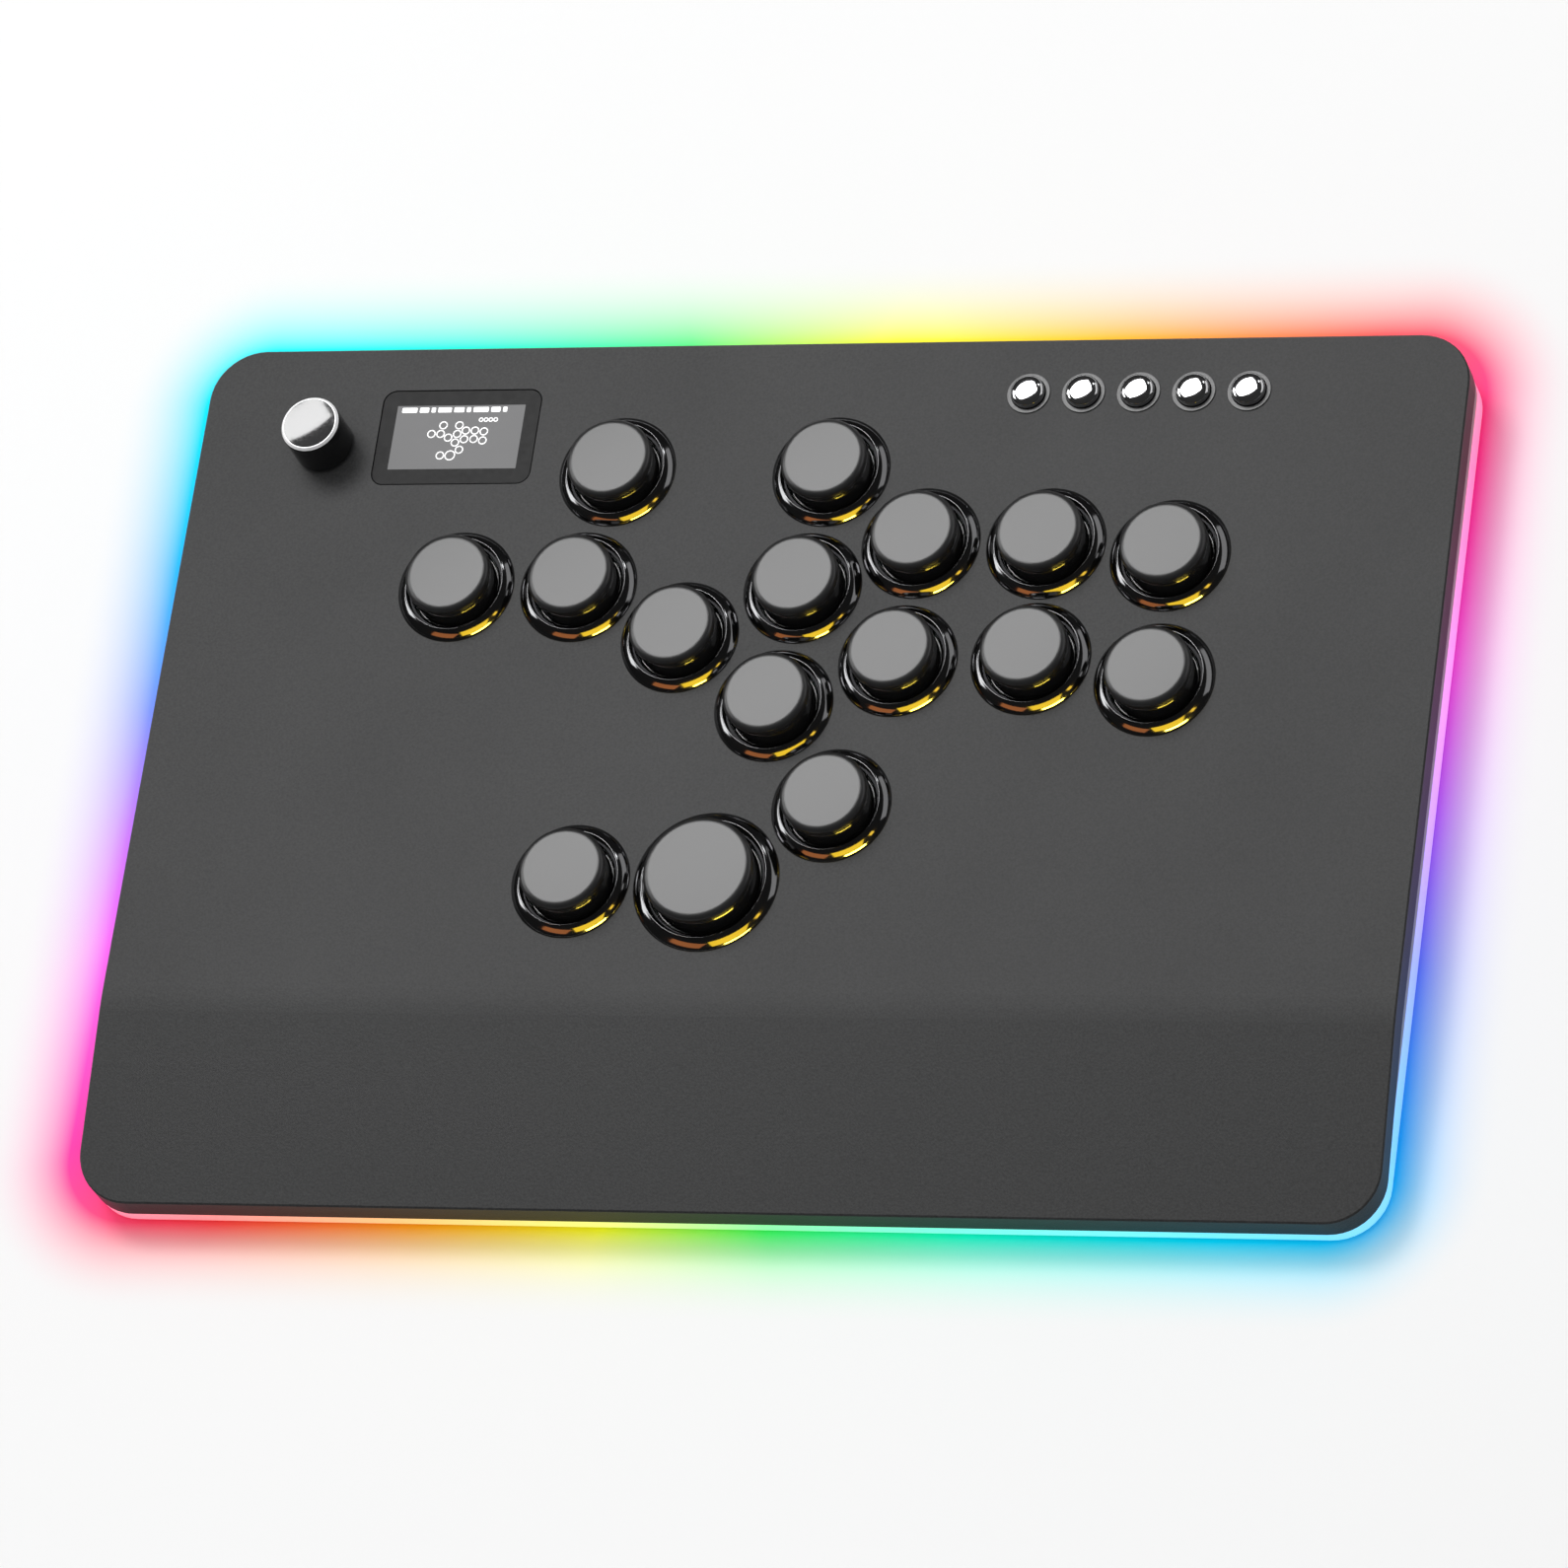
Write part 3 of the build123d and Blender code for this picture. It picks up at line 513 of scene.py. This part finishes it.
for number in range(1, MENU_COUNT + 1):
    middle = footprint("menu_cap_%d" % number)[0]
    outline = [(MENU_BORE, MENU_RIM_FOOT), (MENU_BARREL, MENU_RIM_FOOT), (MENU_BARREL, 0), (MENU_RIM, 0)]
    outline += [(MENU_RIM, MENU_RIM_TOP), (MENU_BORE, MENU_RIM_TOP)]
    shape = bmesh.new()
    turned(shape, eased(outline, MENU_EASE), middle, panel_top, MENU_STEPS)
    rim = finish_piece("menu_rim_%d" % number, shape, rim_steel, "case")
    if number == 1:
        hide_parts("menu_bezels")
    outline = []
    for n in range(DOME_STEPS + 1):
        turn = math.pi / 2 * n / DOME_STEPS
        radius = MENU_CAP * math.sin(turn) ** (2 / DOME_POWER)
        height = DOME_SHOULDER + (DOME_TOP - DOME_SHOULDER) * math.cos(turn) ** (2 / DOME_POWER)
        outline.append((radius, height))
    outline += [(MENU_CAP, CAP_HEM), (STALK, CAP_HEM), (STALK, STALK_FOOT)]
    outline += [(PLUNGER, STALK_FOOT), (PLUNGER, PLUNGER_FOOT), (0, PLUNGER_FOOT)]
    shape = bmesh.new()
    turned(shape, outline, middle, panel_top, MENU_STEPS)
    dome = finish_piece("menu_dome_%d" % number, shape, chrome, "menu_%d" % number)
    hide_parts("menu_cap_%d" % number)

# ---- Encoder knob --------------------------------------------------------------------------
# A turned knob lacquered in gloss black, with a diamond-cut edge and a polished dark face
# let into its top, which is dished for a fingertip.
KNOB_RADIUS, KNOB_BORE = 6.85, 3.1
KNOB_LOW, KNOB_TOP = 0.7, 11.2
KNOB_BEVEL = 0.4
CUT_Z, CUT_EASE = KNOB_TOP - 0.6, 0.05
FACE_RADIUS, FACE_FIT = 6.05, 0.02
FACE_DISH, DISH_STEPS = 0.57, 10
FACE_RIM, FACE_BACK = KNOB_TOP - 0.05, KNOB_TOP - 0.9
knob_middle = footprint("encoder_knob")[0]
lacquer = Finish("knob_lacquer", IOR=1.6)
lacquer.vary(lacquer.noise(5 * MM, 3.0), (0.006, 0.006, 0.0065), (0.010, 0.010, 0.0105), 0.1, 0.2)
outline = [(KNOB_BORE, KNOB_LOW), (KNOB_RADIUS - KNOB_BEVEL, KNOB_LOW), (KNOB_RADIUS, KNOB_LOW + KNOB_BEVEL)]
outline += [(KNOB_RADIUS, CUT_Z - 0.15), (KNOB_RADIUS - 0.12, CUT_Z), (FACE_RADIUS, CUT_Z)]
outline += [(KNOB_BORE, CUT_Z - 0.1)]
shape = bmesh.new()
turned(shape, outline, knob_middle, panel_top)
knob = finish_piece("knob_grip", shape, lacquer, "encoder_dial")
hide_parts("encoder_knob")

bare_edge = Finish("knob_edge", Metallic=0.3)
bare_edge.vary(bare_edge.noise(0.6 * MM, 2.0), (0.74, 0.74, 0.75), (0.86, 0.86, 0.87), 0.3, 0.42)
outline = [(FACE_RADIUS - FACE_FIT, CUT_Z), (KNOB_RADIUS - 0.1, CUT_Z)]
outline += [(FACE_RADIUS + 0.22, KNOB_TOP), (FACE_RADIUS - FACE_FIT, KNOB_TOP)]
shape = bmesh.new()
turned(shape, eased(outline, CUT_EASE), knob_middle, panel_top)
finish_piece("knob_cut_edge", shape, bare_edge, "encoder_dial")

dark_face = Finish("knob_face", IOR=1.95)
dark_face.vary(dark_face.noise(0.8 * MM, 3.0), (0.030, 0.030, 0.031), (0.042, 0.042, 0.043), 0.07, 0.13)
outline = []
for n in range(DISH_STEPS + 1):
    out = n / DISH_STEPS
    outline.append((FACE_RADIUS * out, FACE_RIM - FACE_DISH * (1 - out ** 2)))
outline += [(FACE_RADIUS, FACE_BACK), (0, FACE_BACK)]
shape = bmesh.new()
turned(shape, outline, knob_middle, panel_top)
face = finish_piece("knob_face", shape, dark_face, "encoder_dial")
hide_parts("knob_disc")

# ---- Display -------------------------------------------------------------------------------
# A smoked acrylic window glued in a pocket of the panel, over a small display. The picture is
# a row of plain status marks over a map of the play buttons.
WINDOW_LONG, WINDOW_DEEP, WINDOW_ROUND = 37.6, 23.6, 3.0
WINDOW_THICK, WINDOW_BEVEL = 1.0, 0.15
PICTURE_WIDE, PICTURE_DEEP = 30.4, 16.0
PICTURE_BACK, PICTURE_FRONT = -0.1, -0.03
MARK_LIFT = 0.05
MAP_SCALE = 0.076
MAP_SHIFT = Vector((0.4, -0.2, 0))
MARK_LENGTHS = (3.6, 2.2, 1.0, 3.2, 2.4, 1.0)
MARK_HIGH, MARK_GAP = 1.25, 0.6
KEY_MARK, JUMP_MARK = 1.0, 1.25     # radii of the rings of the map
SMALL_MARKS, SMALL_PITCH, SMALL_AT = 4, 1.15, (5.2, 4.3)
window_middle = footprint("screen_window")[0]
smoked = Finish("smoked_acrylic", IOR=1.3)
smoked.vary(smoked.noise(1.2 * MM), (0.008, 0.008, 0.0082), (0.012, 0.012, 0.0122), 0.5, 0.58)
window_back = -WINDOW_SUNK - WINDOW_THICK
shape = bmesh.new()
slab(shape, window_middle, WINDOW_LONG, WINDOW_DEEP, WINDOW_ROUND, window_back, -WINDOW_SUNK, WINDOW_BEVEL)
pane = finish_piece("display_window", shape, smoked, "case")
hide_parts("screen_window")

picture_grey = Finish("picture_grey", Roughness=0.5, Emission_Strength=1.0)
backlight = picture_grey.noise(9 * MM)
picture_grey.feed("Base Color", picture_grey.tint((0.010, 0.010, 0.010), (0.012, 0.012, 0.012), backlight))
picture_grey.feed("Emission Color", picture_grey.tint((0.125, 0.125, 0.128), (0.14, 0.14, 0.143), backlight))
shape = bmesh.new()
slab(shape, window_middle, PICTURE_WIDE, PICTURE_DEEP, 0.1, PICTURE_BACK, PICTURE_FRONT, 0.01, 2)
finish_piece("display_picture", shape, picture_grey, "case")

marks_white = Finish("marks_white", Roughness=0.5, Emission_Strength=0.95)
speckle = marks_white.noise(0.4 * MM)
marks_white.feed("Base Color", marks_white.tint((0.5, 0.5, 0.5), (0.6, 0.6, 0.6), speckle))
marks_white.feed("Emission Color", marks_white.tint((0.8, 0.8, 0.8), (1.0, 1.0, 1.0), speckle))
shape = bmesh.new()


def loop_mark(x, y, radius, stroke=0.24, steps=24):
    """A round outline on the picture."""
    inner = radius - stroke
    section = [(inner, -WINDOW_SUNK), (radius, -WINDOW_SUNK), (radius, MARK_LIFT), (inner, MARK_LIFT)]
    turned(shape, section, Vector((x, y, 0)), panel_top, steps)


spots = {button: footprint("cap_" + button)[0] for button in BUTTONS}
map_middle = sum(spots.values(), Vector()) / len(spots)
for button, spot in spots.items():
    x, y, _ = window_middle + (spot - map_middle) * MAP_SCALE + MAP_SHIFT * MM
    loop_mark(x, y, JUMP_MARK if button == "jump" else KEY_MARK)
for n in range(SMALL_MARKS):
    x, y, _ = window_middle + Vector((SMALL_AT[0] + SMALL_PITCH * n, SMALL_AT[1], 0)) * MM
    loop_mark(x, y, 0.55, 0.22)
mark_rear = PICTURE_DEEP / 2 - 0.5 - MARK_HIGH / 2
reach = 1.2 - PICTURE_WIDE / 2
for length in MARK_LENGTHS * 2:
    if reach + length < PICTURE_WIDE / 2 - 0.8:
        at = window_middle + Vector((reach + length / 2, mark_rear, 0)) * MM
        slab(shape, at, length, MARK_HIGH, 0.2, PICTURE_BACK, MARK_LIFT, 0.02, 2)
    reach += length + MARK_GAP
finish_piece("display_marks", shape, marks_white, "case")

# ---- Underside and works -------------------------------------------------------------------
# The cover is powder coated steel on moulded rubber feet; behind it are the circuit board,
# the keyswitches and the encoder.
def dress(name, dark, light, rough, grain_size, node, metal=0.0, depth=0.0):
    """Gives a CAD node a colour that wanders from dark to light, with a grain and a depth in mm."""
    finish = Finish(name, Metallic=metal)
    wander = finish.noise(grain_size * MM, 3.0)
    finish.vary(wander, dark, light, rough * 0.85, rough * 1.15)
    if depth:
        finish.relief(wander, depth * MM)
    coat(node, finish)


dress("cover_coat", (0.018, 0.018, 0.019), (0.032, 0.032, 0.033), 0.55, 0.5, "bottom_cover", depth=0.03)
dress("foot_rubber", (0.012, 0.012, 0.012), (0.026, 0.026, 0.026), 0.8, 0.8, "feet", depth=0.05)
dress("screw_steel", (0.10, 0.10, 0.105), (0.17, 0.17, 0.175), 0.32, 0.7, "case_screws", metal=1.0)
dress("socket_nickel", (0.55, 0.54, 0.52), (0.66, 0.65, 0.63), 0.28, 0.9, "usb_socket", metal=1.0)
dress("solder_mask", (0.006, 0.022, 0.012), (0.010, 0.034, 0.018), 0.35, 3.0, "main_board", depth=0.01)
dress("chip_epoxy", (0.010, 0.010, 0.011), (0.022, 0.022, 0.023), 0.5, 0.4, "board_chips", depth=0.01)
dress("nut_nylon", (0.012, 0.012, 0.012), (0.020, 0.020, 0.021), 0.45, 1.5, "bezel_nuts")
dress("switch_nylon", (0.015, 0.015, 0.017), (0.024, 0.024, 0.027), 0.4, 1.2, "switch_housings")
dress("spring_wire", (0.50, 0.50, 0.52), (0.62, 0.62, 0.64), 0.25, 0.5, "switch_springs", metal=1.0)
dress("hot_swap", (0.010, 0.010, 0.011), (0.020, 0.020, 0.021), 0.5, 1.0, "switch_sockets")
dress("tact_case", (0.03, 0.03, 0.032), (0.05, 0.05, 0.052), 0.45, 0.8, "menu_switches")
dress("encoder_tin", (0.42, 0.42, 0.43), (0.55, 0.55, 0.56), 0.3, 1.0, "encoder_body", metal=1.0)
dress("nut_brass", (0.45, 0.34, 0.16), (0.56, 0.44, 0.22), 0.3, 0.8, "encoder_nut", metal=1.0)
dress("plunger_nylon", (0.30, 0.30, 0.29), (0.38, 0.38, 0.37), 0.45, 1.0, "encoder_plunger")
dress("shaft_steel", (0.45, 0.45, 0.46), (0.58, 0.58, 0.59), 0.25, 0.6, "encoder_shaft", metal=1.0)
dress("display_glass", (0.010, 0.010, 0.012), (0.016, 0.016, 0.019), 0.15, 4.0, "display_module")
dress("strip_enamel", (0.62, 0.62, 0.60), (0.75, 0.75, 0.73), 0.4, 1.5, "light_strip")
